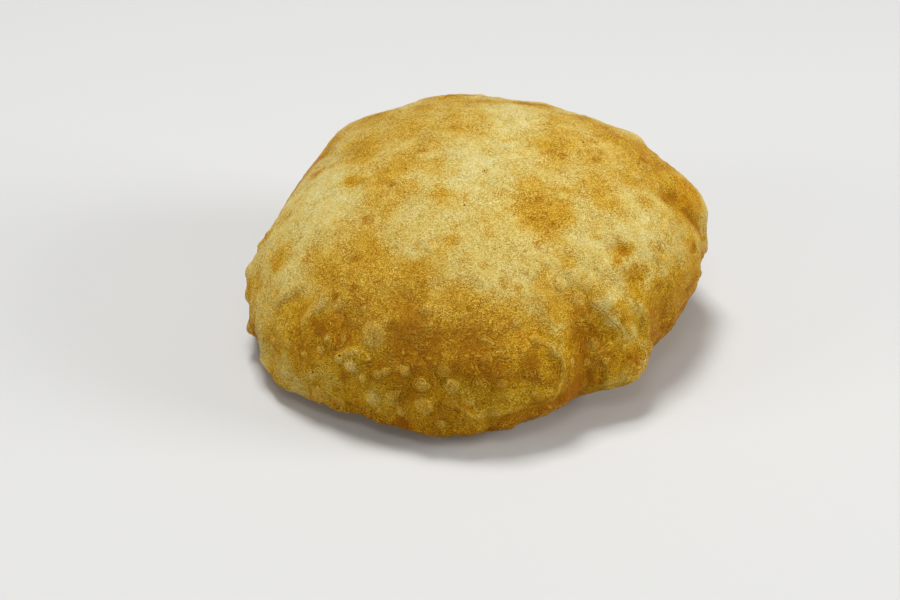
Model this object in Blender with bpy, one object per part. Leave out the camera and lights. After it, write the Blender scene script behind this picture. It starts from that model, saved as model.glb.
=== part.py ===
# Bhatura: a round of leavened wheat dough, deep fried until it puffs into one big dome.
# It is whole and uncut, so it is one closed solid.
#
# Metres, +Z up. The origin is on the surface it rests on, under the middle of its outline.
# +X is its right and -Y its front. A place on the skin is an (azimuth, elevation) pair in
# degrees, seen from the middle of the seam: azimuth turns from +X towards +Y, and
# elevation rises from the plane of the seam, where the upper skin meets the lower one.

import bmesh
import bpy
import numpy as np
from mathutils import noise

NAME = "bhatura"
MM = 0.001

# The dome, which swells up from the seam
SEAM_RADIUS = 92.5 * MM
CROWN_HEIGHT = 58.5 * MM    # of the upper skin over the plane of the seam
FULLNESS = 2.24             # 2 makes the dome an ellipse in section, more makes it squarer
SEAM_HEIGHT = 26 * MM       # of the seam's middle over the surface it rests on
RISE_TO_RIGHT = 5.2         # degrees that the seam climbs to the right
RISE_TO_BACK = 9.9          # and to the back

# Waves round the outline: how many, their share of the radius, and where one crests
OUTLINE_WAVES = ((2, 0.038, 30), (3, 0.033, 2), (4, 0.029, 20), (5, 0.008, -20))

# The belly, a shallow bowl from a flat foot up to the seam
FOOT_SHARE = 0.46           # of the seam's radius that lies flat
BELLY_START = 2.2           # more leaves the foot more gently
BELLY_TURN = 2.0            # more stands more upright at the seam

# Pleats: puckers that run up from the seam and die out
PLEAT_COUNT = 37
PLEAT_DEPTH = 1.0 * MM
PLEAT_ROUNDNESS = 0.8       # less makes the skin between two pleats flatter
PLEAT_REACH_UP = 15         # degrees of elevation over which they fade
PLEAT_REACH_DOWN = 22
PLEAT_DRIFT = ((2, 0.9, 40), (5, 0.8, 10), (9, 0.5, 75))   # waves that space them unevenly

# The lip, where the two skins meet
LIP_RISE = 0.9 * MM
LIP_SPREAD = 1.6            # degrees

# Swellings and, where the rise is less than nothing, dimples:
# azimuth, elevation, radius and rise, the last two in mm
SKYLINE_LOBES = (
    (92, 30, 16, 0.9), (114, 28, 8, -2.8), (134, 23, 13, 1.8), (170, 17, 12, -0.8),
    (-172, 10, 9, 1.8), (61, 30, 9, 0.9), (52, 29, 7, -0.9), (41, 23, 9, -0.8),
    (25, 17, 7, -3.4), (10, 8, 15, 4.2), (32, 19, 6, 1.2),
)
SEAM_LOBES = (
    (-2, 0, 6, -2.0), (-15, -2, 9, -1.6), (-27, -3, 8, -2.4), (-45, -9, 12, 5.4),
    (-59, -3, 11, -3.4), (-73, -3, 10, -1.0), (-97, -3, 13, 2.0), (-118, -3, 12, -1.2),
    (-141, -3, 10, 1.8), (-148, -3, 6, 1.0), (-156, -1, 6, -2.6), (-163, 1, 5, 0.6),
)
FRONT_PUFFS = (
    (-80, 16, 13, 1.8), (-114, 26, 9, 1.8), (-125, 32, 7, 1.3), (-117, 35, 7, 1.3),
    (-102, 30, 7, 1.2), (-120, 16, 7, 1.4), (-136, 8, 10, 1.0), (-100, 7, 6, 0.9),
    (-94, 19, 6, 0.8), (-68, 6, 8, 0.9),
)
FRONT_DIMPLES = (
    (-55, 14, 9, -3.6), (-55, 26, 8, -1.8), (-144, 21, 8, -1.2), (-128, 24, 8, -0.8),
    (-109, 33, 5, -1.5), (-30, 29, 4.5, -1.6), (-34, 20, 5, -1.8), (-29, 5, 8, -2.0),
    (-162, 14, 7, -1.4), (-86, 22, 5, -0.8), (-48, 36, 4, -0.7), (-66, 22, 6, -0.9),
)
CROWN_SWELLS = (
    (-36, 54, 14, -0.9), (16, 54, 14, -0.7), (-17, 26, 14, 1.2), (-90, 47, 20, 0.8),
    (175, 45, 18, 0.9), (130, 60, 15, -0.7), (60, 47, 16, 0.8), (-150, 50, 15, -0.6),
)

# Folds: half width and rise in mm, and the places that they run through
FOLDS = (
    (3.0, -0.8, ((-5, 37), (-2, 33), (0, 26))),
    (3.2, -2.3, ((2, 23), (2, 19), (0, 15), (2, 10), (4, 5))),
    (3.0, 0.9, ((-148, 19), (-150, 24), (-151, 29))),
    (3.0, 0.9, ((-136, 18), (-136, 22), (-135, 26))),
    (4.0, 1.3, ((-66, 31), (-64, 22), (-64, 14), (-67, 6))),
    (4.6, 1.5, ((-47, 27), (-46, 22), (-43, 12), (-40, 3), (-40, -4))),
    (3.0, 1.6, ((-36, 14), (-36, 9), (-37, 2))),
    (2.6, 1.3, ((-95, 7), (-89, 5), (-80, 5), (-72, 7))),
    (3.0, -1.6, ((145, 24), (151, 34), (142, 46))),
)
FOLD_WANDER_SIZE = 10 * MM      # noise that keeps the folds from running straight
FOLD_WANDER_REACH = 2.2 * MM

# The side that was never looked at is as uneven as the front: seeded swellings there
BACK_SEED = 5
BACK_COUNT = 16
BACK_AZIMUTHS = (28, 158)
BACK_ELEVATIONS = (1, 13)
BACK_RADII = (5, 11)
BACK_RISES = (-1.8, 1.6)
BELLY_SEED = 9
BELLY_COUNT = 26
BELLY_ELEVATIONS = (-48, -12)
BELLY_RISES = (-1.2, 1.0)

# The mesh
QUADS_PER_SIDE = 30         # of the cube that is blown up into the dome
SEAM_CROWDING = 1.2         # more draws the rows of faces closer to the seam

CRUST_COLOUR = (0.56, 0.33, 0.085, 1)
CRUST_ROUGHNESS = 0.55


def seam_radius(azimuth):
    waves = sum(share * np.cos(count * (azimuth - np.radians(crest)))
                for count, share, crest in OUTLINE_WAVES)
    return SEAM_RADIUS * (1 + waves)


def leaned(points):
    """Turns points of the level seam to the seam as it lies, and lifts them to its height."""
    right, back = np.radians(RISE_TO_RIGHT), np.radians(RISE_TO_BACK)
    x, y, z = np.moveaxis(points, -1, 0)
    x, z = x * np.cos(right) - z * np.sin(right), x * np.sin(right) + z * np.cos(right)
    y, z = y * np.cos(back) - z * np.sin(back), y * np.sin(back) + z * np.cos(back)
    return np.stack([x, y, z + SEAM_HEIGHT], axis=-1)


def upper_skin(azimuth, elevation):
    across, up = np.cos(elevation), np.sin(elevation)
    stretch = (across / seam_radius(azimuth)) ** FULLNESS + (up / CROWN_HEIGHT) ** FULLNESS
    reach = stretch ** (-1 / FULLNESS)
    level = [reach * across * np.cos(azimuth), reach * across * np.sin(azimuth), reach * up]
    return leaned(np.stack(level, axis=-1))


def lower_skin(azimuth, elevation):
    seam = upper_skin(azimuth, np.zeros_like(azimuth))
    share = np.cos(elevation)
    past_foot = np.clip((share - FOOT_SHARE) / (1 - FOOT_SHARE), 0, 1)
    climb = 1 - (1 - past_foot ** BELLY_START) ** (1 / BELLY_TURN)
    return seam * np.stack([share, share, climb], axis=-1)


def smooth_skin(azimuth, elevation):
    """The bread's form before any relief, from angles in radians."""
    azimuth, elevation = np.broadcast_arrays(azimuth, elevation)
    upper = upper_skin(azimuth, np.maximum(elevation, 0))
    lower = lower_skin(azimuth, np.minimum(elevation, 0))
    return np.where(elevation[..., None] >= 0, upper, lower)


def place(azimuth, elevation):
    """The point of the smooth skin at a place given in degrees."""
    return smooth_skin(np.radians(float(azimuth)), np.radians(float(elevation)))


def swellings(points, lobes):
    rise = np.zeros(len(points))
    for azimuth, elevation, radius, height in lobes:
        away = np.linalg.norm(points - place(azimuth, elevation), axis=1)
        rise += height * MM * np.exp(-(away / (radius * MM)) ** 2)
    return rise


def distance_to_path(points, path):
    """How far each point is from a line that runs straight from place to place."""
    nearest = np.full(len(points), np.inf)
    for start, end in zip(path[:-1], path[1:]):
        start, end = place(*start), place(*end)
        run = end - start
        share = np.clip((points - start) @ run / (run @ run), 0, 1)
        away = np.linalg.norm(points - (start + share[:, None] * run), axis=1)
        nearest = np.minimum(nearest, away)
    return nearest


def noise_at(points, size, seed):
    spots = points / size + np.array([17.3, -8.1, 5.7]) * seed
    return np.array([noise.noise(spot) for spot in spots.tolist()])


def wandered(points, size, reach):
    """The points pulled about by noise."""
    return points + np.stack([noise_at(points, size, seed) for seed in (11, 12, 13)], axis=1) * reach


def folds(points):
    rise = np.zeros(len(points))
    wandering = wandered(points, FOLD_WANDER_SIZE, FOLD_WANDER_REACH)
    for half_width, height, path in FOLDS:
        away = distance_to_path(wandering, path)
        rise += height * MM * np.exp(-(away / (half_width * MM)) ** 2)
    return rise


def pleats(azimuth, elevation):
    drift = sum(size * np.sin(count * azimuth + np.radians(start))
                for count, size, start in PLEAT_DRIFT)
    between = np.abs(np.sin((PLEAT_COUNT * azimuth + drift) / 2)) ** PLEAT_ROUNDNESS
    reach = np.radians(np.where(elevation > 0, PLEAT_REACH_UP, PLEAT_REACH_DOWN))
    return PLEAT_DEPTH * (between - 1) * np.exp(-(elevation / reach) ** 2)


def lip(elevation):
    return LIP_RISE * np.exp(-(elevation / np.radians(LIP_SPREAD)) ** 2)


def scattered(seed, count, azimuths, elevations, radii, rises):
    """Swellings at random places within the given limits."""
    draw = np.random.default_rng(seed)
    return [tuple(draw.uniform(*limits) for limits in (azimuths, elevations, radii, rises))
            for _ in range(count)]


def relief(points, azimuth, elevation):
    """How far the skin stands out from the smooth form."""
    lobes = SKYLINE_LOBES + SEAM_LOBES + FRONT_PUFFS + FRONT_DIMPLES + CROWN_SWELLS
    back = scattered(BACK_SEED, BACK_COUNT, BACK_AZIMUTHS, BACK_ELEVATIONS,
                     BACK_RADII, BACK_RISES)
    belly = scattered(BELLY_SEED, BELLY_COUNT, (-180, 180), BELLY_ELEVATIONS,
                      BACK_RADII, BELLY_RISES)
    rise = swellings(points, [*lobes, *back, *belly]) + folds(points)
    return rise + pleats(azimuth, elevation) + lip(elevation)


def blown_up_cube():
    """A cube whose faces are cut into quads, for the skin to be shaped from."""
    bpy.ops.mesh.primitive_cube_add(size=2)
    skin = bpy.context.object
    mesh = bmesh.new()
    mesh.from_mesh(skin.data)
    bmesh.ops.subdivide_edges(mesh, edges=mesh.edges[:], cuts=QUADS_PER_SIDE - 1,
                              use_grid_fill=True)
    return skin, mesh


def directions_of(mesh):
    """Each corner's azimuth and elevation, with the quads spread evenly over the sphere."""
    corners = np.array([corner.co for corner in mesh.verts])
    sphere = np.tan(corners * np.pi / 4)
    sphere /= np.linalg.norm(sphere, axis=1, keepdims=True)
    azimuth = np.arctan2(sphere[:, 1], sphere[:, 0])
    elevation = np.arcsin(np.clip(sphere[:, 2], -1, 1))
    crowded = (np.abs(elevation) * 2 / np.pi) ** SEAM_CROWDING * np.pi / 2
    return azimuth, np.sign(elevation) * crowded


def move_corners(mesh, points):
    for corner, point in zip(mesh.verts, points):
        corner.co = point
    mesh.normal_update()


def middle_of_outline(points):
    return (points[:, :2].max(axis=0) + points[:, :2].min(axis=0)) / 2


def shape_skin(mesh):
    azimuth, elevation = directions_of(mesh)
    points = smooth_skin(azimuth, elevation)
    move_corners(mesh, points)
    outward = np.array([corner.normal for corner in mesh.verts])
    on_foot = np.cos(elevation) <= FOOT_SHARE
    rise = relief(points, azimuth, elevation)
    rise *= np.clip(points[:, 2] / (2 * MM), 0, 1)      # nothing bulges into the surface below
    points = points + outward * rise[:, None]
    points[:, 2] = np.where(on_foot & (elevation < 0), 0, np.maximum(points[:, 2], 0))
    points[:, :2] -= middle_of_outline(points)
    move_corners(mesh, points)


def crust():
    material = bpy.data.materials.new("crust")
    material.use_nodes = True
    shader = material.node_tree.nodes["Principled BSDF"]
    shader.inputs["Base Color"].default_value = CRUST_COLOUR
    shader.inputs["Roughness"].default_value = CRUST_ROUGHNESS
    shader.inputs["Metallic"].default_value = 0
    return material


def build_bhatura():
    skin, mesh = blown_up_cube()
    shape_skin(mesh)
    mesh.to_mesh(skin.data)
    mesh.free()
    skin.name = skin.data.name = NAME
    skin.data.materials.append(crust())
    skin.data.shade_smooth()
    return skin


def main():
    for old in list(bpy.data.objects):
        bpy.data.objects.remove(old)
    skin = build_bhatura()
    collection = bpy.data.collections.new(NAME)
    bpy.context.scene.collection.children.link(collection)
    for old in list(skin.users_collection):
        old.objects.unlink(skin)
    collection.objects.link(skin)


main()
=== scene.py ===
# Looks of a whole fried bread: its skin, the burnt flecks on it, the floor, the light and
# the camera. A place on the skin is (azimuth, elevation) in degrees, seen from the middle of
# the seam: azimuth turns from +X towards +Y, elevation rises from the plane of the seam.

import math

import bmesh
import bpy
import numpy as np
from mathutils import Matrix, Vector, noise


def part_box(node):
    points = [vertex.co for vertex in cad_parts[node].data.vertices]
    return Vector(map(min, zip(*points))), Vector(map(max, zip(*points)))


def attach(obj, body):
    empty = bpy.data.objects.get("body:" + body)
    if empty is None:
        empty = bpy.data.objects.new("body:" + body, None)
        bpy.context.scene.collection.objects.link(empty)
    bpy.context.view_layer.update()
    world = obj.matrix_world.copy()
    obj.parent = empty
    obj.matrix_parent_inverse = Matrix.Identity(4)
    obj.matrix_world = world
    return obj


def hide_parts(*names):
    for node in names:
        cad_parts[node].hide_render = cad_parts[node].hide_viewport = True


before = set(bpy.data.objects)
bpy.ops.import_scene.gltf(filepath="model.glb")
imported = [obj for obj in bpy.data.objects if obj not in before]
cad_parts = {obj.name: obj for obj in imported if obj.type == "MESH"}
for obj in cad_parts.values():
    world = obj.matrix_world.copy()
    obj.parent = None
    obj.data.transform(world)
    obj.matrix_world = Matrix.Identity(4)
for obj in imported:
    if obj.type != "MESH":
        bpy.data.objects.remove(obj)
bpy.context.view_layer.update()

breadLow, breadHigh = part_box("bhatura")
print("frame loaded, bread", [round(side * 1000, 1) for side in breadHigh - breadLow], "mm")


# The skin's form

skinForm = {
    "acrossInMm": 194.0,          # what the values below were measured at
    "seamRadius": 92.5,
    "crownHeight": 58.5,          # of the upper skin over the plane of the seam
    "fullness": 2.24,             # 2 makes the dome an ellipse in section, more makes it squarer
    "seamHeight": 26,
    "riseToRight": 5.2,           # degrees that the seam climbs
    "riseToBack": 9.9,
    "outlineWaves": ((2, 0.038, 30), (3, 0.033, 2), (4, 0.029, 20), (5, 0.008, -20)),
    "footShare": 0.46,            # of the seam's radius that lies flat
    "bellyStart": 2.2,
    "bellyTurn": 2.0,
    "quadsPerSide": 128,          # of the cube that is blown up into the bread
    "seamCrowding": 1.12,         # more draws the rows of faces closer to the seam
    "reliefFrom": 2.0,            # mm over the floor where relief is full: none bulges into it
}
mm = (breadHigh.x - breadLow.x) / skinForm["acrossInMm"]

pleatForm = {
    "count": 37,
    "depth": 1.0,
    "roundness": 0.8,
    "reachUp": 15,                # degrees of elevation over which they fade
    "reachDown": 22,
    "drift": ((2, 0.9, 40), (5, 0.8, 10), (9, 0.5, 75)),
    "lipRise": 0.9,
    "lipSpread": 1.6,
}

# Swellings and dimples: azimuth, elevation, radius and rise in mm
swellForm = {
    "skyline": (
        (92, 30, 16, 0.9), (114, 28, 8, -2.8), (134, 23, 13, 1.8), (170, 17, 12, -0.8),
        (-172, 10, 9, 1.8), (61, 30, 9, 0.9), (52, 29, 7, -0.9), (41, 23, 9, -0.8),
        (25, 17, 7, -3.4), (10, 8, 15, 4.2), (32, 19, 6, 1.2),
    ),
    "seam": (
        (-2, 0, 6, -2.0), (-15, -2, 9, -1.6), (-27, -3, 8, -2.4), (-45, -9, 12, 5.4),
        (-59, -3, 11, -3.4), (-73, -3, 10, -1.0), (-97, -3, 13, 2.0), (-118, -3, 12, -1.2),
        (-141, -3, 10, 1.8), (-148, -3, 6, 1.0), (-156, -1, 6, -2.6), (-163, 1, 5, 0.6),
    ),
    "frontPuffs": (
        (-80, 16, 13, 1.8), (-114, 26, 9, 1.8), (-125, 32, 7, 1.3), (-117, 35, 7, 1.3),
        (-102, 30, 7, 1.2), (-120, 16, 7, 1.4), (-136, 8, 10, 1.0), (-100, 7, 6, 0.9),
        (-94, 19, 6, 0.8), (-68, 6, 8, 0.9),
    ),
    "frontDimples": (
        (-55, 14, 9, -3.6), (-55, 26, 8, -1.8), (-144, 21, 8, -1.2), (-128, 24, 8, -0.8),
        (-109, 33, 5, -1.5), (-30, 29, 4.5, -1.6), (-34, 20, 5, -1.8), (-29, 5, 8, -2.0),
        (-162, 14, 7, -1.4), (-86, 22, 5, -0.8), (-48, 36, 4, -0.7), (-66, 22, 6, -0.9),
    ),
    "crown": (
        (-36, 54, 14, -0.9), (16, 54, 14, -0.7), (-17, 26, 14, 1.2), (-90, 47, 20, 0.8),
        (175, 45, 18, 0.9), (130, 60, 15, -0.7), (60, 47, 16, 0.8), (-150, 50, 15, -0.6),
    ),
    "backSeed": 5,
    "backCount": 16,
    "backRange": ((28, 158), (1, 13), (5, 11), (-1.8, 1.6)),
    "bellySeed": 9,
    "bellyCount": 26,
    "bellyRange": ((-180, 180), (-48, -12), (5, 11), (-1.2, 1.0)),
}

# Folds: half width and rise in mm, and the places that they run through
foldForm = (
    (3.0, -0.8, ((-5, 37), (-2, 33), (0, 26))),
    (3.2, -2.3, ((2, 23), (2, 19), (0, 15), (2, 10), (4, 5))),
    (3.0, 0.9, ((-148, 19), (-150, 24), (-151, 29))),
    (3.0, 0.9, ((-136, 18), (-136, 22), (-135, 26))),
    (4.0, 1.3, ((-66, 31), (-64, 22), (-64, 14), (-67, 6))),
    (4.6, 1.5, ((-47, 27), (-46, 22), (-43, 12), (-40, 3), (-40, -4))),
    (3.0, 1.6, ((-36, 14), (-36, 9), (-37, 2))),
    (2.6, 1.3, ((-95, 7), (-89, 5), (-80, 5), (-72, 7))),
    (3.0, -1.6, ((145, 24), (151, 34), (142, 46))),
)
foldWander = {"size": 10, "reach": 2.2}     # mm: noise that keeps the folds from running straight


def noiseAt(points, size, seed, stretch=1.0):
    spots = points / (size * mm)
    spots[:, 2] *= stretch
    spots += np.array([17.3, -8.1, 5.7]) * seed
    return np.array([noise.noise(spot) for spot in spots.tolist()])


def wandered(points, size, reach):
    return points + np.stack([noiseAt(points, size, seed) for seed in (11, 12, 13)], axis=1) * reach * mm


def seamRadius(azimuth):
    waves = sum(share * np.cos(count * (azimuth - np.radians(crest)))
                for count, share, crest in skinForm["outlineWaves"])
    return skinForm["seamRadius"] * mm * (1 + waves)


def leaned(points):
    right, back = np.radians(skinForm["riseToRight"]), np.radians(skinForm["riseToBack"])
    x, y, z = np.moveaxis(points, -1, 0)
    x, z = x * np.cos(right) - z * np.sin(right), x * np.sin(right) + z * np.cos(right)
    y, z = y * np.cos(back) - z * np.sin(back), y * np.sin(back) + z * np.cos(back)
    return np.stack([x, y, z + skinForm["seamHeight"] * mm], axis=-1)


def upperSkin(azimuth, elevation):
    full = skinForm["fullness"]
    across, up = np.cos(elevation), np.sin(elevation)
    stretch = (across / seamRadius(azimuth)) ** full + (up / (skinForm["crownHeight"] * mm)) ** full
    reach = stretch ** (-1 / full)
    level = [reach * across * np.cos(azimuth), reach * across * np.sin(azimuth), reach * up]
    return leaned(np.stack(level, axis=-1))


def lowerSkin(azimuth, elevation):
    seam = upperSkin(azimuth, np.zeros_like(azimuth))
    share, foot = np.cos(elevation), skinForm["footShare"]
    pastFoot = np.clip((share - foot) / (1 - foot), 0, 1)
    climb = 1 - (1 - pastFoot ** skinForm["bellyStart"]) ** (1 / skinForm["bellyTurn"])
    return seam * np.stack([share, share, climb], axis=-1)


def smoothSkin(azimuth, elevation):
    azimuth, elevation = np.broadcast_arrays(azimuth, elevation)
    upper = upperSkin(azimuth, np.maximum(elevation, 0))
    lower = lowerSkin(azimuth, np.minimum(elevation, 0))
    return np.where(elevation[..., None] >= 0, upper, lower)


def place(azimuth, elevation):
    return smoothSkin(np.radians(float(azimuth)), np.radians(float(elevation)))


def distanceTo(points, azimuth, elevation):
    return np.linalg.norm(points - place(azimuth, elevation), axis=1)


def scattered(seed, count, limits):
    draw = np.random.default_rng(seed)
    return [tuple(draw.uniform(*limit) for limit in limits) for _ in range(count)]


def swellings(points, lobes):
    rise = np.zeros(len(points))
    for azimuth, elevation, radius, height in lobes:
        away = distanceTo(points, azimuth, elevation) / (radius * mm)
        rise += height * mm * np.exp(-away ** 2)
    return rise


def distanceToPath(points, path):
    nearest = np.full(len(points), np.inf)
    for start, end in zip(path[:-1], path[1:]):
        start, end = place(*start), place(*end)
        run = end - start
        share = np.clip((points - start) @ run / (run @ run), 0, 1)
        away = np.linalg.norm(points - (start + share[:, None] * run), axis=1)
        nearest = np.minimum(nearest, away)
    return nearest


def pleats(azimuth, elevation):
    drift = sum(size * np.sin(count * azimuth + np.radians(start))
                for count, size, start in pleatForm["drift"])
    swell = np.abs(np.sin((pleatForm["count"] * azimuth + drift) / 2)) ** pleatForm["roundness"]
    reach = np.radians(np.where(elevation > 0, pleatForm["reachUp"], pleatForm["reachDown"]))
    return pleatForm["depth"] * mm * (swell - 1) * np.exp(-(elevation / reach) ** 2)


def mainRelief(points, azimuth, elevation):
    named = [lobe for key in ("skyline", "seam", "frontPuffs", "frontDimples", "crown")
             for lobe in swellForm[key]]
    back = scattered(swellForm["backSeed"], swellForm["backCount"], swellForm["backRange"])
    belly = scattered(swellForm["bellySeed"], swellForm["bellyCount"], swellForm["bellyRange"])
    rise = swellings(points, named + back + belly)
    wandering = wandered(points, foldWander["size"], foldWander["reach"])
    for halfWidth, height, path in foldForm:
        rise += height * mm * np.exp(-(distanceToPath(wandering, path) / (halfWidth * mm)) ** 2)
    spread = np.radians(pleatForm["lipSpread"])
    rise += pleatForm["lipRise"] * mm * np.exp(-(elevation / spread) ** 2)
    return rise + pleats(azimuth, elevation)


# The finer relief, which lies on the main one

fineForm = {
    "waveSize": 13, "waveRise": 0.50,        # mm: slow unevenness all over
    "bumpSize": 4.2, "bumpRise": 0.22, "bumpShare": (0.5, 0.8),     # all over, and more on the walls
    "dimpleSize": 2.3, "dimpleRise": 0.13,
    "wrinkleSize": 3.4, "wrinkleRise": 0.40,  # wrinkles that run up the walls
    "wrinkleStretch": 0.28, "wrinkleReach": 26, "wrinkleSharpness": 2.4, "wrinkleMiddle": 0.5,
    "puckerCount": 101, "puckerRise": 0.45, "puckerReach": 9, "puckerMiddle": 0.6,
    "puckerDrift": ((3, 1.7, 15), (7, 1.2, 80), (13, 0.8, 30)),
    "blisterSeed": 21, "blisterCount": 620, "blisterMiddle": 5, "blisterSpread": 15,
    "blisterRadii": (1.3, 3.4), "blisterRise": 0.17,     # the rise is a share of the radius
    "blisterVariety": (0.5, 1.4),
    "crownBlisterSeed": 33, "crownBlisterCount": 170, "crownBlisterHeights": (0.3, 0.99),
    "crownBlisterRadii": (1.2, 2.6), "crownBlisterRises": (0.06, 0.16),
    "capShare": 0.8, "moat": (0.15, 1.1, 0.22),          # share of the rise; place and width in radii
    "blisterMargin": 3, "rimRange": (-2, 4), "farOutside": -6.0,     # mm
    "crispFrom": 0.22,                       # mm: blisters that rise more have a crisp rim
    "paleFrom": (0.30, 0.80),                # mm: rises over which their tops turn pale
    "paleRadius": 3,                         # mm: wider ones are less pale
}

# Blisters that show from the front: azimuth, elevation, radius and rise in mm
blistersSeen = (
    (-129, 18, 2.2, 1.0), (-124, 20, 1.9, 0.8), (-130, 15, 2.1, 0.8), (-124, 15, 2.6, 1.1),
    (-122, 17, 2.0, 0.9), (-120, 18, 2.2, 0.9), (-116, 17, 1.7, 0.8), (-120, 14, 2.7, 1.1),
    (-117, 12, 2.2, 0.8), (-113, 14, 2.1, 0.9), (-111, 15, 2.2, 0.9), (-106, 16, 2.6, 1.1),
    (-131, 8, 2.6, 0.9), (-114, 7, 4.2, 1.1), (-129, 3, 4.4, 1.1), (-101, 8, 4.2, 1.2),
    (-116, 23, 5.6, 1.1), (-113, 27, 2.4, 0.4), (-121, 28, 1.4, 0.7), (-118, 26, 1.3, 0.6),
    (-126, 32, 4.0, 0.2), (-116, 34, 4.0, 0.2), (-102, 31, 2.6, 0.5), (-101, 27, 2.2, 0.4),
    (-94, 13, 3.4, 1.0), (-134, 12, 2.3, 0.7), (-140, 12, 2.4, 0.7), (-146, 9, 2.6, 0.8),
    (-107, 5, 2.6, 0.8), (-108, 10, 1.9, 0.6), (-97, 3, 2.4, 0.7), (-90, 9, 2.6, 0.6),
    (-86, 13, 1.8, 0.5), (-80, 9, 2.0, 0.5), (-74, 8, 2.2, 0.6), (-62, 11, 2.2, 0.7),
    (-57, 8, 1.9, 0.6), (-52, 6, 2.3, 0.7), (-46, 7, 1.8, 0.6), (-136, 5, 2.2, 0.6),
    (-173, 10, 3.6, 1.3), (-168, 6, 3.8, 1.4), (-178, 15, 3.4, 1.2), (-161, 1, 3.6, 1.2),
    (-22, 20, 2.2, 0.5), (-14, 12, 2.0, 0.5), (150, 40, 2.4, 0.5), (144, 52, 2.6, 0.5),
    (158, 56, 2.4, 0.5), (118, 40, 2.6, 0.5), (22, 53, 2.6, 0.4), (12, 52, 2.4, 0.4),
    (-168, 30, 2.2, 0.4), (-158, 37, 2.0, 0.4), (160, 45, 2.6, 0.5),
)
# Pale ridges: half width and rise in mm, and the places that they run through
ridgesSeen = (
    (2.4, 1.0, ((-149, 20), (-147, 22), (-146, 25))), (2.2, 0.9, ((-137, 19), (-137, 22), (-135, 25))),
    (1.2, 0.5, ((-86, 24), (-83, 22), (-76, 20))), (1.1, 0.6, ((-82, 19), (-77, 18), (-74, 20))),
    (1.4, 0.7, ((-71, 21), (-67, 18), (-65, 13), (-67, 7), (-70, 4))),
    (1.3, 0.3, ((-49, 23), (-47, 18), (-44, 10))), (1.0, 0.4, ((-40, 29), (-38, 22), (-36, 16))),
    (1.6, 0.8, ((-53, -4), (-48, -5), (-43, -6), (-40, -2))), (1.3, 0.6, ((-55, 9), (-50, 9), (-46, 10))),
    (1.2, 0.5, ((-95, 13), (-94, 9), (-90, 5), (-83, 4), (-78, 8))),
    (1.1, 0.5, ((-156, 30), (-153, 24), (-152, 18))), (1.1, 0.5, ((-162, 26), (-158, 20), (-157, 14))),
)
# Blisters with rings of fine wrinkles round them
ringedBlisters = ((-101, 8), (-116, 24), (-94, 13), (-50, -4), (16, 54), (118, 41), (95, 9), (140, 12),
                  (-66, -14))


def ridged(points, size, seed, stretch=1.0):
    return 1 - fineForm["wrinkleSharpness"] * np.abs(noiseAt(points, size, seed, stretch))


def seededBlisters():
    draw = np.random.default_rng(fineForm["blisterSeed"])
    low, high = fineForm["blisterRadii"]
    spots = []
    for _ in range(fineForm["blisterCount"]):
        elevation = draw.normal(fineForm["blisterMiddle"], fineForm["blisterSpread"])
        radius = low + (high - low) * draw.random() ** 2
        rise = radius * fineForm["blisterRise"] * draw.uniform(*fineForm["blisterVariety"])
        spots.append((draw.uniform(-180, 180), elevation, radius, rise))
    draw = np.random.default_rng(fineForm["crownBlisterSeed"])
    for _ in range(fineForm["crownBlisterCount"]):
        elevation = np.degrees(np.arcsin(draw.uniform(*fineForm["crownBlisterHeights"])))
        radius = draw.uniform(*fineForm["crownBlisterRadii"])
        azimuth, share = draw.uniform(-180, 180), draw.uniform(*fineForm["crownBlisterRises"])
        spots.append((azimuth, elevation, radius, radius * share))
    return spots


blisterSpots = list(blistersSeen) + seededBlisters()


def blisters(points):     # their rise, and at each place the number of the blister there, or -1
    rise, deepest = np.zeros(len(points)), np.full(len(points), -np.inf)
    owner = np.full(len(points), -1)
    depth, middle, width = fineForm["moat"]
    for number, (azimuth, elevation, radius, height) in enumerate(blisterSpots):
        away = distanceTo(points, azimuth, elevation) / mm
        near = np.flatnonzero(away < radius + fineForm["blisterMargin"])
        share = away[near] / radius
        cap = np.clip(1 - share ** 2, 0, 1)
        moat = np.exp(-((share - middle) / width) ** 2)
        rise[near] += height * mm * (fineForm["capShare"] * cap - depth * moat)
        if height > fineForm["crispFrom"]:
            mine = near[radius - away[near] > deepest[near]]
            deepest[mine], owner[mine] = radius - away[mine], number
    return rise, np.clip(deepest, *fineForm["rimRange"]), owner


def ridges(points):
    rise, inside = np.zeros(len(points)), np.full(len(points), fineForm["farOutside"])
    wandering = wandered(points, foldWander["size"], foldWander["reach"] / 2)
    for halfWidth, height, path in ridgesSeen:
        away = distanceToPath(wandering, path) / mm
        rise += height * mm * np.exp(-(away / halfWidth) ** 2)
        inside = np.maximum(inside, halfWidth - away)
    return rise, inside


def fineRelief(points, azimuth, elevation):
    degrees = np.degrees(elevation)
    wall = np.exp(-(degrees / fineForm["wrinkleReach"]) ** 2)
    rise = fineForm["waveRise"] * noiseAt(points, fineForm["waveSize"], 1)
    allOver, onWall = fineForm["bumpShare"]
    bumps = fineForm["bumpRise"] * noiseAt(points, fineForm["bumpSize"], 2)
    rise += bumps * (allOver + onWall * wall)
    rise += fineForm["dimpleRise"] * noiseAt(points, fineForm["dimpleSize"], 3)
    wrinkles = ridged(points, fineForm["wrinkleSize"], 4, fineForm["wrinkleStretch"])
    rise += fineForm["wrinkleRise"] * wall * (wrinkles - fineForm["wrinkleMiddle"])
    drift = sum(size * np.sin(count * azimuth + np.radians(start))
                for count, size, start in fineForm["puckerDrift"])
    pucker = np.abs(np.sin((fineForm["puckerCount"] * azimuth + drift) / 2)) - fineForm["puckerMiddle"]
    rise += fineForm["puckerRise"] * pucker * np.exp(-(degrees / fineForm["puckerReach"]) ** 2)
    return rise * mm


# Where the skin is browned: azimuth, elevation, radius in mm and strength

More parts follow.
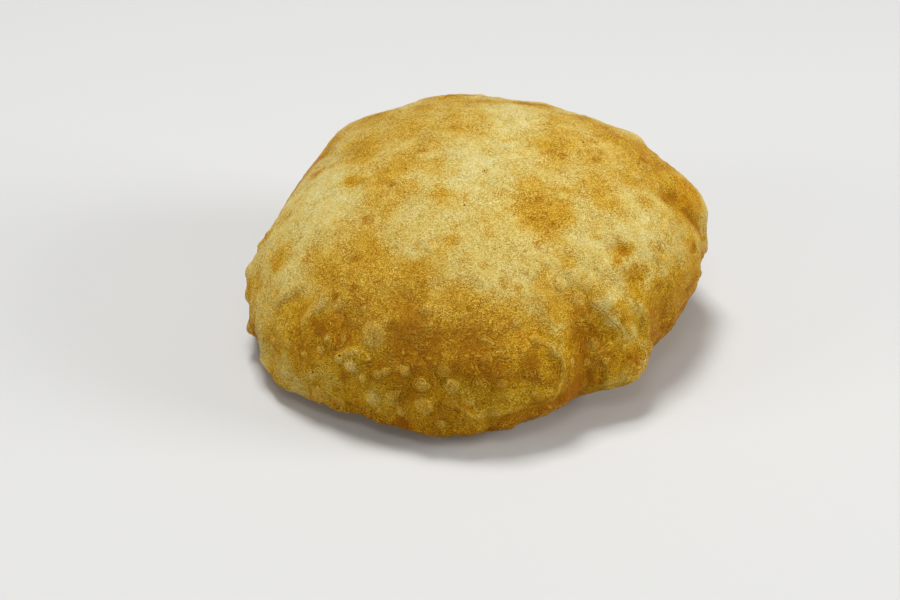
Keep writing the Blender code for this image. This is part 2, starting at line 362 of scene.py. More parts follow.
browned = {
    "broad": (
        (-128, 26, 19, .50), (-112, 30, 17, .45), (-104, 17, 18, .55), (-86, 18, 19, .50),
        (-70, 9, 17, .50), (-52, 4, 13, .50), (-134, 12, 13, .35), (-33, 6, 11, .40),
        (-17, 7, 11, .14), (2, 22, 15, .35), (92, 50, 13, .30), (118, 47, 13, .30),
        (145, 42, 16, .30), (-120, 4, 14, .20), (-96, 2, 13, .35), (-88, 46, 22, .19),
        (-116, 37, 11, .32), (-92, 33, 8, .50), (-68, 58, 9, .24), (-10, 44, 12, .28),
        (-77, 4, 11, .36), (-76, 17, 10, .26), (-100, 46, 7, .25), (-70, 43, 5, .15),
        (-60, 37, 5, .25), (-17, 40, 6, .35), (-9, 29, 4, .40), (-18, 34, 6, .30), (-73, 0, 7, .60),
        (-68, 3, 6, .50), (-86, 10, 12, .28), (-80, -1, 9, .80), (-68, -1, 7, .70), (-90, 1, 6, .50),
    ),
    "skyline": (
        (95, 36, 13, .50), (82, 41, 5, .55), (110, 44, 5, .50), (127, 34, 9, .72), (130, 57, 10, .38),
        (140, 27, 7, .60), (147, 24, 5, .60), (152, 47, 10, .45), (100, 62, 9, .28),
    ),
    "backLeft": (
        (165, 50, 9, .38), (170, 66, 9, .50), (-170, 60, 8, .55), (-178, 50, 5, .70),
        (-145, 62, 6, .22), (-175, 79, 7, .40), (-156, 54, 6, .35), (-150, 66, 5, .35),
        (-143, 48, 9, .12), (-140, 41, 14, .28), (-130, 42, 9, .40), (-147, 33, 9, .34),
        (-139, 31, 5, .50), (-108, 39, 7, .48), (-115, 71, 4, .35), (-95, 52, 4, .38),
        (133, 70, 8, .30), (-122, 36, 6, .38), (-129, 34, 6, .40), (-121, 30, 4, .26),
        (-120, 68, 7, .30), (-143, 56, 6, .30), (-121, 52, 5, .25), (95, 70, 8, .30),
        (75, 57, 7, .25), (78, 66, 6, .25), (62, 70, 5, .30), (72, 40, 7, .40), (-95, 67, 6, .25),
    ),
    "left": (
        (-178, 19, 5, .60), (-160, 25, 6, .56), (-168, 8, 5, .55), (-178, 27, 5, .35),
        (-140, 21, 4, .62), (-146, 18, 6, .25), (-147, 10, 5, .38), (-143, 9, 4, .50),
    ),
    "frontLeft": (
        (-137, 14, 6, .62), (-132, 20, 5, .70), (-127, 16, 5, .95), (-127, 24, 9, .52),
        (-123, 18, 7, .80), (-119, 24, 5, .50), (-133, 10, 4, .45), (-122, 11, 3, .80),
        (-115, 15, 6, .65), (-111, 11, 6, .70),
    ),
    "column": (
        (-107, 31, 6, .82), (-107, 26, 8, .92), (-110, 29, 6, .50), (-100, 27, 7, .40),
        (-109, 21, 7, .95), (-103, 24, 5, .90), (-100, 21, 6, .90), (-104, 16, 6, .85),
        (-105, 11, 6, .75), (-98, 26, 5, .70),
    ),
    "frontMiddle": (
        (-91, 24, 6, .75), (-88, 20, 8, .80), (-90, 15, 7, .90), (-85, 14, 8, .88),
        (-85, 27, 12, .48), (-76, 26, 9, .45), (-74, 13, 6, .90), (-71, 21, 6, .35),
        (-69, 10, 5, .75), (-94, 8, 4, .80), (-98, 5, 4, .75), (-62, 33, 7, .35), (-81, 0, 7, .50),
    ),
    "frontRight": (
        (-61, 6, 9, .70), (-53, 5, 6, .75), (-59, 0, 5, .60), (-69, 2, 6, .58), (-55, 14, 8, .98),
        (-54, 19, 5, .60), (-52, 26, 5, .42), (-54, 11, 4, .60), (-56, 23, 5, .55), (-43, 17, 4, .50),
        (-46, 25, 5, .45), (-35, 18, 4, .30), (-63, 17, 5, .35), (-63, 27, 6, .55), (-59, 17, 4, .50),
        (-33, 13, 4, .50), (-43, 4, 4, .70), (-46, 2, 4, .75), (-42, 13, 4, .66), (-33, 9, 4, .75),
        (-33, 1, 6, .50), (-22, 10, 6, .28), (-18, 6, 6, .40), (-25, 6, 7, .40), (-12, 2, 6, .45),
        (-7, 11, 4, .22),
    ),
    "spots": (
        (-28.5, 28.5, 3.3, .95), (-34, 27, 3.5, .55), (-31, 21, 3.6, .52), (-49, 36, 4.5, .42),
        (-27, 15, 3, .50), (-15, 22, 4, .36), (-21, 20, 4, .34),
    ),
    "crown": (
        (-45, 59, 7, .25), (-33, 62, 6, .18), (-15, 60, 7, .10), (-26, 57, 7, .20), (-37, 50, 9, .45),
        (-50, 43, 5, .28), (-36, 45, 5, .30), (-47, 51, 9, .46), (-22, 50, 5, .34), (-27, 64, 5, .26),
        (-29, 37, 5, .25), (-14, 69, 6, .15), (-8, 42, 6, .25),
    ),
    "backRight": (
        (42, 45, 8, .46), (42, 35, 6, .40), (33, 52, 8, .20), (22, 57, 6, .20), (30, 61, 7, .18),
        (24, 47, 9, .32), (10, 43, 9, .38), (0, 57, 6, .34), (14, 54, 8, .42), (22, 33, 9, .36),
        (12, 31, 10, .45), (5, 28, 8, .14), (12, 24, 6, .70), (10, 15, 6, .70), (3, 18, 9, .62),
        (2, 33, 6, .35), (6, 12, 6, .50), (-2, 33, 4, .25), (0, 37, 5, .25), (56, 38, 8, .55),
    ),
}
creaseBrown = {"path": ((0, 23), (1, 20), (0, 15), (1, 9)), "halfWidth": 3.0, "strength": 0.90}

# Where it stays pale among the browned parts. The low ones on the left, at and under the seam, are partly
# painted light that stands in for light bounced up from below. The small one beside the front dimple is
# painted light on the flank that the dimple shades
palePatchesAndPaintedLight = (
    (-115, 22, 6, .50), (-111, 29, 4, .40), (-126, 35, 5, .36), (-117, 35, 6, .40),
    (-151, 24, 4, .45), (-134, 25, 4, .75), (-120, 16, 6, .60), (-128, 9, 7, .45), (-113, 8, 6, .65),
    (-91, 12, 5, .70), (-100, 29, 3, .30), (-95, 30, 4, .25), (-86, 7, 8, .60), (-78, 8, 7, .55),
    (-69, 7, 4, .60), (-48, 15, 3, .45), (-46, 20, 3, .20), (-42, 10, 3, .30), (-66, 16, 5, .45),
    (-128, 17.5, 2, .60), (-123, 16, 2.5, .50), (-119, 13, 2.5, .50), (-105, 13, 2.5, .45),
    (-140, 4, 8, .35), (-26, 31, 5, .25), (-155, 12, 8, .45), (-150, 4, 8, .60), (-150, -3, 10, .90),
    (-138, -4, 8, .80), (-166, 3, 6, .60), (-52, -5, 8, .85),
)

# Seeded patches where the photograph doesn't show the skin, in degrees and mm
hiddenBrown = {
    "seed": 41, "count": 190, "radii": (3, 11), "strengths": (0.25, 0.85),
    "middle": -2, "spread": 24, "top": 40,     # of their elevation
    "seenAbove": -6, "hiddenAzimuths": (12, 165),
}
skinTone = {
    "wanderSize": 7.0, "wanderReach": 2.6,     # mm: noise that frays the patches
    "wallBase": 0.50, "crownBase": 0.14,       # browning where no patch lies
    "palest": 0.48,                            # share of the browning that a pale patch takes away
    "bellyBase": 0.79, "bellyFrom": 7,         # degrees under the seam where it is full; the darker underside is partly the crust's own browning and partly painted shade
    "wallReach": 24,
    "hollowBrown": 0.10, "hollowLimit": 2.5,   # more where the skin dips, for each mm up to a limit
    "patchEdge": 2.4,                          # more makes the patches' edges crisper
    "lipReach": 3.2,                           # degrees
}


def patchCover(points, spots):
    bare = np.ones(len(points))
    for azimuth, elevation, radius, strength in spots:
        away = distanceTo(points, azimuth, elevation) / (radius * mm)
        bare *= 1 - strength * np.exp(-away ** skinTone["patchEdge"])
    return 1 - bare


def hiddenPatches():
    draw = np.random.default_rng(hiddenBrown["seed"])
    right, left = hiddenBrown["hiddenAzimuths"]
    spots = []
    for _ in range(hiddenBrown["count"]):
        azimuth = draw.uniform(-180, 180)
        elevation = draw.normal(hiddenBrown["middle"], hiddenBrown["spread"])
        radius, strength = draw.uniform(*hiddenBrown["radii"]), draw.uniform(*hiddenBrown["strengths"])
        seenFromFront = elevation > hiddenBrown["seenAbove"] and (azimuth < right or azimuth > left)
        if not seenFromFront and elevation < hiddenBrown["top"]:
            spots.append((azimuth, elevation, radius, strength))
    return spots


def browning(points, elevation, mainRise):
    frayed = wandered(points, skinTone["wanderSize"], skinTone["wanderReach"])
    wall = np.exp(-(np.degrees(elevation) / skinTone["wallReach"]) ** 2)
    base = skinTone["crownBase"] + (skinTone["wallBase"] - skinTone["crownBase"]) * wall
    under = np.clip(-np.degrees(elevation) / skinTone["bellyFrom"], 0, 1)
    base += (skinTone["bellyBase"] - base) * under
    limit = skinTone["hollowLimit"]
    base = np.clip(base - skinTone["hollowBrown"] * np.clip(mainRise / mm, -limit, limit), 0, 1)
    seen = [spot for spots in browned.values() for spot in spots]
    cover = patchCover(frayed, seen + hiddenPatches())
    crease = distanceToPath(frayed, creaseBrown["path"]) / (creaseBrown["halfWidth"] * mm)
    cover = 1 - (1 - cover) * (1 - creaseBrown["strength"] * np.exp(-crease ** 2))
    cover = base + (1 - base) * cover
    pale = patchCover(frayed, palePatchesAndPaintedLight)
    return np.clip(cover * (1 - skinTone["palest"] * pale), 0, 1), pale


def blownUpCube():
    bpy.ops.mesh.primitive_cube_add(size=2)
    skin = bpy.context.object
    mesh = bmesh.new()
    mesh.from_mesh(skin.data)
    bmesh.ops.subdivide_edges(mesh, edges=mesh.edges[:], cuts=skinForm["quadsPerSide"] - 1,
                              use_grid_fill=True)
    mesh.to_mesh(skin.data)
    mesh.free()
    return skin


def directionsOf(mesh):
    corners = np.empty(len(mesh.vertices) * 3, np.float32)
    mesh.vertices.foreach_get("co", corners)
    sphere = np.tan(corners.reshape(-1, 3).astype(float) * np.pi / 4)
    sphere /= np.linalg.norm(sphere, axis=1, keepdims=True)
    azimuth = np.arctan2(sphere[:, 1], sphere[:, 0])
    elevation = np.arcsin(np.clip(sphere[:, 2], -1, 1))
    crowded = (np.abs(elevation) * 2 / np.pi) ** skinForm["seamCrowding"] * np.pi / 2
    return azimuth, np.sign(elevation) * crowded


def moveCorners(mesh, points):
    mesh.vertices.foreach_set("co", points.astype(np.float32).ravel())
    mesh.update()
    outward = np.empty(len(mesh.vertices) * 3, np.float32)
    mesh.vertex_normals.foreach_get("vector", outward)
    return outward.reshape(-1, 3).astype(float)


def paint(mesh, name, values):
    mesh.attributes.new(name, "FLOAT", "POINT").data.foreach_set("value", values.astype(np.float32))


def nearestCorner(corners, azimuth, elevation):
    return int(np.argmin(distanceTo(corners, azimuth, elevation)))


def paintBlisters(mesh, smooth, points, owner):     # so that the finish can draw each rim exactly
    centres, radii, pales = [], [], []
    low, high = fineForm["paleFrom"]
    for azimuth, elevation, radius, height in blisterSpots:
        corner = nearestCorner(smooth, azimuth, elevation)
        centres.append(place(azimuth, elevation) + points[corner] - smooth[corner])
        radii.append(radius)
        pales.append(min(max((height - low) / (high - low), 0), 1, fineForm["paleRadius"] / radius))
    owned = owner >= 0
    centre = np.array(centres)[owner].astype(np.float32)
    mesh.attributes.new("blisterCentre", "FLOAT_VECTOR", "POINT").data.foreach_set("vector", centre.ravel())
    paint(mesh, "blisterRadius", np.where(owned, np.array(radii)[owner], fineForm["rimRange"][0]))
    paint(mesh, "blisterPale", np.where(owned, np.array(pales)[owner], 0))


def buildSkin():
    skin = blownUpCube()
    mesh = skin.data
    azimuth, elevation = directionsOf(mesh)
    smooth = smoothSkin(azimuth, elevation)
    outward = moveCorners(mesh, smooth)
    offSurface = np.clip(smooth[:, 2] / (skinForm["reliefFrom"] * mm), 0, 1)
    mainRise = mainRelief(smooth, azimuth, elevation) * offSurface
    points = smooth + outward * mainRise[:, None]
    middle = (points[:, :2].max(axis=0) + points[:, :2].min(axis=0)) / 2
    frameMiddle = np.array((breadLow + breadHigh) / 2)[:2]
    outward = moveCorners(mesh, points)
    blistered, inBlister, owner = blisters(smooth)
    ridgeRise, inRidge = ridges(smooth)
    fineRise = fineRelief(smooth, azimuth, elevation) + blistered + ridgeRise
    points = points + outward * (fineRise * offSurface)[:, None]
    onFoot = (np.cos(elevation) <= skinForm["footShare"]) & (elevation < 0)
    points[:, 2] = np.where(onFoot, 0, np.maximum(points[:, 2], 0)) + breadLow.z
    points[:, :2] += frameMiddle - middle
    moveCorners(mesh, points)
    paintBlisters(mesh, smooth, points, owner)

    cover, pale = browning(smooth, elevation, mainRise)
    paint(mesh, "browning", cover)
    paint(mesh, "paleness", pale)
    paint(mesh, "inBlister", inBlister)        # mm to its rim, less than 0 outside
    paint(mesh, "inRidge", inRidge)
    paint(mesh, "lip", np.exp(-(np.degrees(elevation) / skinTone["lipReach"]) ** 2))
    paint(mesh, "wall", np.exp(-(np.degrees(elevation) / skinTone["wallReach"]) ** 2))
    rings = np.min([distanceTo(smooth, *spot) for spot in ringedBlisters], axis=0)
    paint(mesh, "ringDistance", rings / mm)
    mesh.shade_smooth()
    skin.name = mesh.name = "crustSkin"
    return skin, smooth


skin, smooth = buildSkin()
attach(skin, "root")
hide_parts("bhatura")
print("skin shaped,", len(skin.data.polygons) * 2, "triangles")


# Node helpers

def addNode(tree, kind, inputs=None, **settings):
    node = tree.nodes.new(kind)
    for key, value in settings.items():
        setattr(node, key, value)
    for key, value in (inputs or {}).items():
        if isinstance(value, bpy.types.NodeSocket):
            tree.links.new(value, node.inputs[key])
        else:
            node.inputs[key].default_value = value
    return node


def maths(tree, operation, first, second=0.0, clamp=False):
    return addNode(tree, "ShaderNodeMath", {0: first, 1: second}, operation=operation,
                   use_clamp=clamp).outputs[0]


def plus(tree, first, second, clamp=False):
    return maths(tree, "ADD", first, second, clamp)


def minus(tree, first, second, clamp=False):
    return maths(tree, "SUBTRACT", first, second, clamp)


def times(tree, first, second, clamp=False):
    return maths(tree, "MULTIPLY", first, second, clamp)


def over(tree, first, second, clamp=False):
    return maths(tree, "DIVIDE", first, second, clamp)


def swung(tree, value, reach):
    return times(tree, minus(tree, value, 0.5), reach)


def between(tree, value, low, high, toLow=0.0, toHigh=1.0):
    return addNode(tree, "ShaderNodeMapRange",
                   {"Value": value, "From Min": low, "From Max": high, "To Min": toLow, "To Max": toHigh},
                   interpolation_type="SMOOTHSTEP").outputs["Result"]


def mixed(tree, share, first, second, blend="MIX"):
    return addNode(tree, "ShaderNodeMix", {0: share, 6: first, 7: second}, data_type="RGBA",
                   blend_type=blend).outputs[2]


def vectors(tree, operation, first, second):
    socket = "Scale" if operation == "SCALE" else 1
    return addNode(tree, "ShaderNodeVectorMath", {0: first, socket: second}, operation=operation).outputs[0]


def noiseNode(tree, spot, scale, detail, **more):
    return addNode(tree, "ShaderNodeTexNoise", {"Vector": spot, "Scale": scale, "Detail": detail,
                                                **more}).outputs


def cellNode(tree, spot, scale):
    return addNode(tree, "ShaderNodeTexVoronoi", {"Vector": spot, "Scale": scale}, feature="F1").outputs


def inUnitsOf(tree, spot, size):
    return vectors(tree, "SCALE", spot, over(tree, 1.0, size))


def pulledBy(tree, spot, noiseColour, reach):
    centred = vectors(tree, "SUBTRACT", noiseColour, (0.5, 0.5, 0.5))
    return vectors(tree, "ADD", spot, vectors(tree, "SCALE", centred, reach))


def dragged(tree, spot, size, reach):     # pulls places about, so that what is drawn there curls
    return pulledBy(tree, spot, noiseNode(tree, inUnitsOf(tree, spot, size), 1.0, 1.0)["Color"], reach)


def waveOf(tree, distance, pitch):
    return maths(tree, "SINE", over(tree, times(tree, distance, 2 * math.pi), pitch))


def makeGroup(name, values, outputs):     # each works on a place and on these values
    group = bpy.data.node_groups.new(name, "ShaderNodeTree")
    group.interface.new_socket("Place", in_out="INPUT", socket_type="NodeSocketVector")
    for label, value in values.items():
        socket = group.interface.new_socket(label, in_out="INPUT", socket_type="NodeSocketFloat")
        socket.default_value = value
    for label in outputs:
        group.interface.new_socket(label, in_out="OUTPUT", socket_type="NodeSocketFloat")
    return group, group.nodes.new("NodeGroupInput").outputs, group.nodes.new("NodeGroupOutput").inputs


def useGroup(tree, group, values):
    return addNode(tree, "ShaderNodeGroup", values, node_tree=group).outputs


# Patterns that the materials share

patternForm = {
    "cloudScale": 0.8, "cellScale": 0.9,       # of the grain's two parts, for each of its sizes
    "cloudy": (0.30, 0.70), "cloudShare": 0.3,  # of the grain's height, the rest is its cells'
    "tops": (0.45, 0.85), "pits": (0.15, 0.55),
    "spotScale": 2.6, "spotFray": 0.5,
    "leastSpot": (0.6, 0.4),                   # radius and strength of the least spot
    "arcScale": 2.2, "arcBend": 0.8, "arcGapScale": 2.9, "arcGaps": (0.44, 0.60),
    "ringScale": 1.7, "ringStart": 0.1, "ringGaps": (0.44, 0.62), "ringFade": (0.5, 1.0),
}


def makeGrain():
    values = {"Size": 0.001, "Curl Size": 0.004, "Curl": 0.0, "Flatness": 1.0}
    group, given, made = makeGroup("fryGrain", values, ("Height", "Tops", "Pits"))
    curled = dragged(group, given["Place"], given["Curl Size"], given["Curl"])
    sides = addNode(group, "ShaderNodeCombineXYZ", {"X": 1.0, "Y": 1.0, "Z": given["Flatness"]})
    spot = inUnitsOf(group, vectors(group, "MULTIPLY", curled, sides.outputs[0]), given["Size"])
    cloud = noiseNode(group, spot, patternForm["cloudScale"], 2.0, Roughness=0.7)["Fac"]
    cells = cellNode(group, spot, patternForm["cellScale"])
    drawn = addNode(group, "ShaderNodeSeparateColor", {"Color": cells["Color"]}).outputs["Red"]
    cloudy = times(group, between(group, cloud, *patternForm["cloudy"]), patternForm["cloudShare"])
    height = plus(group, cloudy, times(group, drawn, 1 - patternForm["cloudShare"]))
    group.links.new(height, made["Height"])
    group.links.new(between(group, height, *patternForm["tops"]), made["Tops"])
    group.links.new(between(group, height, *patternForm["pits"], 1.0, 0.0), made["Pits"])
    return group


def makeWrinkles():
    values = {"Size": 0.003, "Upright Stretch": 3.0, "Sharpness": 3.0}
    group, given, made = makeGroup("fryWrinkles", values, ("Height",))
    parts = addNode(group, "ShaderNodeSeparateXYZ", {0: given["Place"]}).outputs
    squeezed = over(group, parts["Z"], given["Upright Stretch"])
    joined = addNode(group, "ShaderNodeCombineXYZ", {"X": parts["X"], "Y": parts["Y"], "Z": squeezed})
    spot = inUnitsOf(group, joined.outputs[0], given["Size"])
    cloud = noiseNode(group, spot, 1.0, 3.0, Roughness=0.55, Distortion=0.4)["Fac"]
    away = maths(group, "ABSOLUTE", minus(group, cloud, 0.5))
    group.links.new(minus(group, 1.0, times(group, away, given["Sharpness"]), True), made["Height"])
    return group


def makeSpots():
    values = {"Size": 0.005, "Share": 0.4, "Radius": 0.35, "Softness": 0.2}
    group, given, made = makeGroup("frySpots", values, ("Cover",))
    spot = inUnitsOf(group, given["Place"], given["Size"])
    edge = swung(group, noiseNode(group, spot, patternForm["spotScale"], 2.0)["Fac"], patternForm["spotFray"])
    cells = cellNode(group, spot, 1.0)
    drawn = addNode(group, "ShaderNodeSeparateColor", {"Color": cells["Color"]}).outputs
    leastRadius, leastStrength = patternForm["leastSpot"]
    radius = times(group, given["Radius"], plus(group, leastRadius, drawn["Green"]))
    inside = minus(group, radius, plus(group, cells["Distance"], edge))
    cover = over(group, inside, given["Softness"], True)
    chosen = maths(group, "LESS_THAN", drawn["Red"], given["Share"])
    strength = times(group, chosen, plus(group, leastStrength, drawn["Blue"]), True)
    group.links.new(times(group, cover, strength), made["Cover"])
    return group


def drawLines(group, made, wave, start, shown):     # a wave's crests and valleys
    for label, side in (("Crest", 1), ("Valley", -1)):
        line = between(group, times(group, wave, side), start, 1.0)
        group.links.new(times(group, line, shown), made[label])


def makeArcs():
    values = {"Size": 0.007, "Pitch": 0.2, "Thickness": 0.3}
    group, given, made = makeGroup("fryArcs", values, ("Crest", "Valley"))
    spot = inUnitsOf(group, given["Place"], given["Size"])
    bend = noiseNode(group, spot, patternForm["arcScale"], 2.0)["Color"]
    cells = cellNode(group, pulledBy(group, spot, bend, patternForm["arcBend"]), 1.0)
    gaps = noiseNode(group, spot, patternForm["arcGapScale"], 2.0)["Fac"]
    drawLines(group, made, waveOf(group, cells["Distance"], given["Pitch"]), given["Thickness"],
              between(group, gaps, *patternForm["arcGaps"]))
    return group


def makeRings():     # wrinkles that follow a rim, from the distance to it in mm, more than 0 inside
    values = {"Distance": 0.0, "Pitch": 1.0, "Reach": 2.0, "Gap Size": 0.003}
    group, given, made = makeGroup("fryRings", values, ("Crest", "Valley"))
    spot = inUnitsOf(group, given["Place"], given["Gap Size"])
    gaps = noiseNode(group, spot, 1.0, 2.0)["Fac"]
    bend = noiseNode(group, spot, patternForm["ringScale"], 2.0)["Fac"]
    bent = plus(group, given["Distance"], times(group, bend, given["Pitch"]))
    inward = maths(group, "ABSOLUTE", over(group, given["Distance"], given["Reach"]))
    near = between(group, inward, *patternForm["ringFade"], 1.0, 0.0)
    drawLines(group, made, waveOf(group, bent, given["Pitch"]), patternForm["ringStart"],
              times(group, near, between(group, gaps, *patternForm["ringGaps"])))
    return group


grainGroup = makeGrain()
wrinkleGroup = makeWrinkles()
arcGroup = makeArcs()
ringGroup = makeRings()
spotGroup = makeSpots()

# The crust's finish. Where a note says crown and walls, the first value is the crown's

crustFinish = {
    "colours": ((0.0, (0.710, 0.610, 0.270, 1)), (0.22, (0.665, 0.500, 0.125, 1)),
                (0.50, (0.570, 0.326, 0.022, 1)), (0.75, (0.475, 0.220, 0.006, 1)),
                (1.0, (0.390, 0.152, 0.002, 1))),
    "wallFrom": (0.05, 0.60),                  # share of wall over which the crown's values change
    "oiled": (0.94, 0.88, 0.06, 1),            # what the walls' browned colour is multiplied by
    "oilyFrom": (0.30, 0.60),                  # browning over which it is
    "oilyWall": (0.15, 0.75),
    "soaked": (1.0, 0.95, 0.40, 1),            # and again, over its painted glints
    "doughy": (0.600, 0.450, 0.060, 1),        # thick parts that stay pale on the walls
    "doughyShare": 0.30,
    "blisterTop": (0.760, 0.480, 0.085, 1), "blisterPale": 0.56, "ridgePale": 0.32,
    "shapeSize": 2.6 * mm, "shapeReach": 2.4 * mm,              # noise that bends blisters out of round
    "rimSize": 1.1 * mm, "rimFray": 0.9, "rimBrown": 0.10,
    "rimSpare": 0.4,                           # mm that a bent blister may pass its own rim
    "capRise": 0.28 * mm, "ridgeRise": 0.16 * mm, "rimRise": -0.10 * mm,
    "capEdge": (-0.1, 1.3), "paleEdge": (-0.2, 1.4), "ridgeEdge": (-0.4, 1.6),   # mm inwards from the rim
    "rimEdge": (-1.0, -0.3, 0.3),
    "rimPitch": 1.0, "rimReach": 1.8, "rimGaps": 3.0 * mm,      # wrinkles along the rims, in mm
    "rimShare": (0.35, 0.8),                   # crown and walls
    # the lip's colour is partly the seam's own browning and partly painted shade under its edge
    "lipBrownAndShade": (0.360, 0.110, 0.002, 1), "lipShare": 0.6,
    "blotchSize": 5.0 * mm,                    # noise that adds and takes browning
    "blotchFray": (0.62, 0.38), "frayFrom": (0.10, 0.80),       # crown and walls, and where they change
    "freckleSize": 6.5 * mm, "freckleBrown": 0.30,
    "creamSize": 8.0 * mm, "creamBrown": -0.22,
    "cream": {"Share": 0.6, "Radius": 0.42, "Softness": 0.5},
    "creasePatch": 12.0 * mm, "creasedFrom": (0.42, 0.62), "creaseShare": (0.30, 0.75),   # crown and walls
    "crestPaintedLight": -0.10, "valleyPaintedShade": 0.10,  # crests of wrinkles are browned less as a painted highlight, cracks more as painted shade
    "paintedGlints": ((0.860, 0.720, 0.290, 1), (0.850, 0.550, 0.070, 1)),     # painted glints on the oily tops, pale and browned
    "paintedGlintFrom": (0.2, 0.7), "topGlintShare": 0.92, "crestGlintShare": 0.90,
    "plainFrom": (0.60, 0.92), "plainest": 0.25,                # browning over which the tops' painted glints grow weaker
    # painted shade that darkens the grain's pits and the wrinkles' cracks
    "paintedPitShade": (0.55, 0.45, 0.12, 1), "pitShare": 0.82, "paintedCrackShade": 0.40,
    "grainSize": 0.34 * mm, "grainRise": 0.52 * mm, "grainFlatness": 1.8, "grainBrown": -0.22,
    "curlSize": 3.4 * mm, "grainCurl": (0.5 * mm, 0.8 * mm),    # crown and walls
    "grainPatch": 7.0 * mm, "patchFrom": (0.35, 0.65),
    "grainShare": (0.75, 1.15),                # where it is smooth and where sandy
    "brownFrom": (0.1, 0.8), "brownGrain": (0.80, 1.00),        # pale and browned parts
    "wrinkleSize": 3.2 * mm, "wrinkleRise": 0.06 * mm,
    "arcSize": 7.5 * mm, "arcPitch": 0.22, "crestRise": 0.28 * mm, "valleyRise": -0.14 * mm,
    "ringPitch": 1.3, "ringRise": 0.20 * mm, "ringSpan": (1.5, 4.5), "ringFray": 2.4,
    "roughness": (0.24, 0.55), "roughFrom": (0.2, 0.8), "roughGrain": 0.7, "roughBlotches": 0.3,
    "evenValues": {"Specular IOR Level": 0.05, "Subsurface Weight": 0.12,
                   "Subsurface Radius": (1.0, 0.55, 0.2), "Subsurface Scale": 1.2 * mm},
}


def readPaint(tree, name):
    return addNode(tree, "ShaderNodeAttribute", attribute_name=name).outputs["Fac"]


def cloudNoise(tree, spot, size, detail=2.0, roughness=0.5):
    return noiseNode(tree, spot, 1 / size, detail, Roughness=roughness)["Fac"]


def onWalls(tree, marks, name):     # goes from the crown's value to the walls'
    return between(tree, marks["wall"], *crustFinish["wallFrom"], *crustFinish[name])


def markGrain(tree, spot, marks):
    grain = useGroup(tree, grainGroup, {"Place": spot, "Size": crustFinish["grainSize"],
                                        "Curl Size": crustFinish["curlSize"],
                                        "Curl": onWalls(tree, marks, "grainCurl"),
                                        "Flatness": crustFinish["grainFlatness"]})
    patches = cloudNoise(tree, spot, crustFinish["grainPatch"])
    sandy = between(tree, patches, *crustFinish["patchFrom"], *crustFinish["grainShare"])
    sandy = times(tree, sandy, between(tree, marks["browning"], *crustFinish["brownFrom"],
                                       *crustFinish["brownGrain"]))
    marks["unevenness"] = grain["Height"]
    marks["sand"] = times(tree, minus(tree, grain["Height"], 0.5), sandy)
    for name, side in (("grain", "Height"), ("tops", "Tops"), ("pits", "Pits")):
        marks[name] = times(tree, grain[side], sandy)


def markBlisters(tree, spot, marks):
    centre = addNode(tree, "ShaderNodeAttribute", attribute_name="blisterCentre").outputs["Vector"]
    bent = dragged(tree, spot, crustFinish["shapeSize"], crustFinish["shapeReach"])
    away = addNode(tree, "ShaderNodeVectorMath", {0: bent, 1: centre}, operation="DISTANCE").outputs["Value"]
    toRim = minus(tree, readPaint(tree, "blisterRadius"), over(tree, away, mm))
    toRim = maths(tree, "MINIMUM", toRim, plus(tree, readPaint(tree, "inBlister"), crustFinish["rimSpare"]))
    frayed = swung(tree, cloudNoise(tree, spot, crustFinish["rimSize"], 1.0), crustFinish["rimFray"])
    toRim = plus(tree, toRim, frayed)
    toEdge = plus(tree, readPaint(tree, "inRidge"), frayed)
    thin = times(tree, between(tree, toRim, *crustFinish["paleEdge"]), readPaint(tree, "blisterPale"))
    thin = times(tree, thin, crustFinish["blisterPale"])
    marks["ridge"] = between(tree, toEdge, *crustFinish["ridgeEdge"])
    marks["thin"] = maths(tree, "MAXIMUM", thin, times(tree, marks["ridge"], crustFinish["ridgePale"]))
    marks["cap"] = between(tree, toRim, *crustFinish["capEdge"])
    outer, middle, inner = crustFinish["rimEdge"]
    marks["rim"] = times(tree, between(tree, toRim, outer, middle),
                         between(tree, toRim, middle, inner, 1.0, 0.0))
    marks["toRim"] = maths(tree, "MAXIMUM", toRim, toEdge)


def markWrinkles(tree, spot, marks):     # loose ones, and those along the rims
    arcs = useGroup(tree, arcGroup, {"Place": spot, "Size": crustFinish["arcSize"],
                                     "Pitch": crustFinish["arcPitch"]})
    rings = useGroup(tree, ringGroup, {"Place": spot, "Distance": marks["toRim"],
                                       "Pitch": crustFinish["rimPitch"], "Reach": crustFinish["rimReach"],
                                       "Gap Size": crustFinish["rimGaps"]})
    patches = cloudNoise(tree, spot, crustFinish["creasePatch"])
    creased = times(tree, between(tree, patches, *crustFinish["creasedFrom"]),
                    onWalls(tree, marks, "creaseShare"))
    rimmed = onWalls(tree, marks, "rimShare")
    for name, side in (("crest", "Crest"), ("valley", "Valley")):
        marks[name] = maths(tree, "MAXIMUM", times(tree, arcs[side], creased),
                            times(tree, rings[side], rimmed))
    wrinkles = useGroup(tree, wrinkleGroup, {"Place": spot, "Size": crustFinish["wrinkleSize"]})
    marks["wrinkle"] = wrinkles["Height"]


def markBrowned(tree, spot, marks):     # the painted browning, with all that frays it
    freckles = useGroup(tree, spotGroup, {"Place": spot, "Size": crustFinish["freckleSize"]})
    cream = useGroup(tree, spotGroup, {"Place": spot, "Size": crustFinish["creamSize"],
                                       **crustFinish["cream"]})
    fray = between(tree, marks["wall"], *crustFinish["frayFrom"], *crustFinish["blotchFray"])
    browned = plus(tree, marks["browning"], swung(tree, marks["blotches"], fray))
    for cover, change in ((freckles["Cover"], "freckleBrown"), (cream["Cover"], "creamBrown"),
                          (marks["crest"], "crestPaintedLight"), (marks["valley"], "valleyPaintedShade"),
                          (marks["rim"], "rimBrown"), (marks["sand"], "grainBrown")):
        browned = plus(tree, browned, times(tree, cover, crustFinish[change]))
    marks["browned"] = browned


